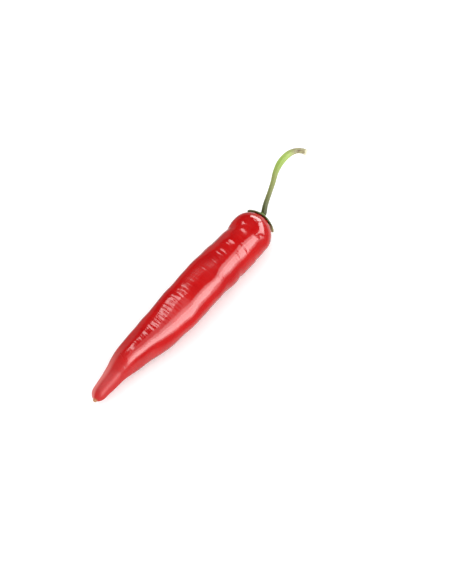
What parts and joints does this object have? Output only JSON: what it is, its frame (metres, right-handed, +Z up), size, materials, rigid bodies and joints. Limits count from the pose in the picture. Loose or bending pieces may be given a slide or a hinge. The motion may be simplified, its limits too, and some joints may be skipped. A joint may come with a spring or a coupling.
{
  "type": "chilli pepper",
  "caption": "Fresh long red chilli pepper lying on its side: tapering glossy pod with a slightly curved blunt tip, thin green calyx and a hooked green stem.",
  "frame": {"origin": "middle of the part's box in X and Y, at the level of the surface that the pod lies on", "axes": "+X along the pod from its tip to its crown and stem, +Z up as it lies, +Y to the side on which the stem rises before it hooks back"},
  "size_m": [0.1531, 0.0212, 0.0196],
  "materials": {
    "pod": "gloss",
    "calyx": "matte",
    "stem": "satin"
  },
  "bodies": {
    "root": {"pod": "pod", "calyx": "calyx", "stem": "stem"}
  },
  "joints": []
}
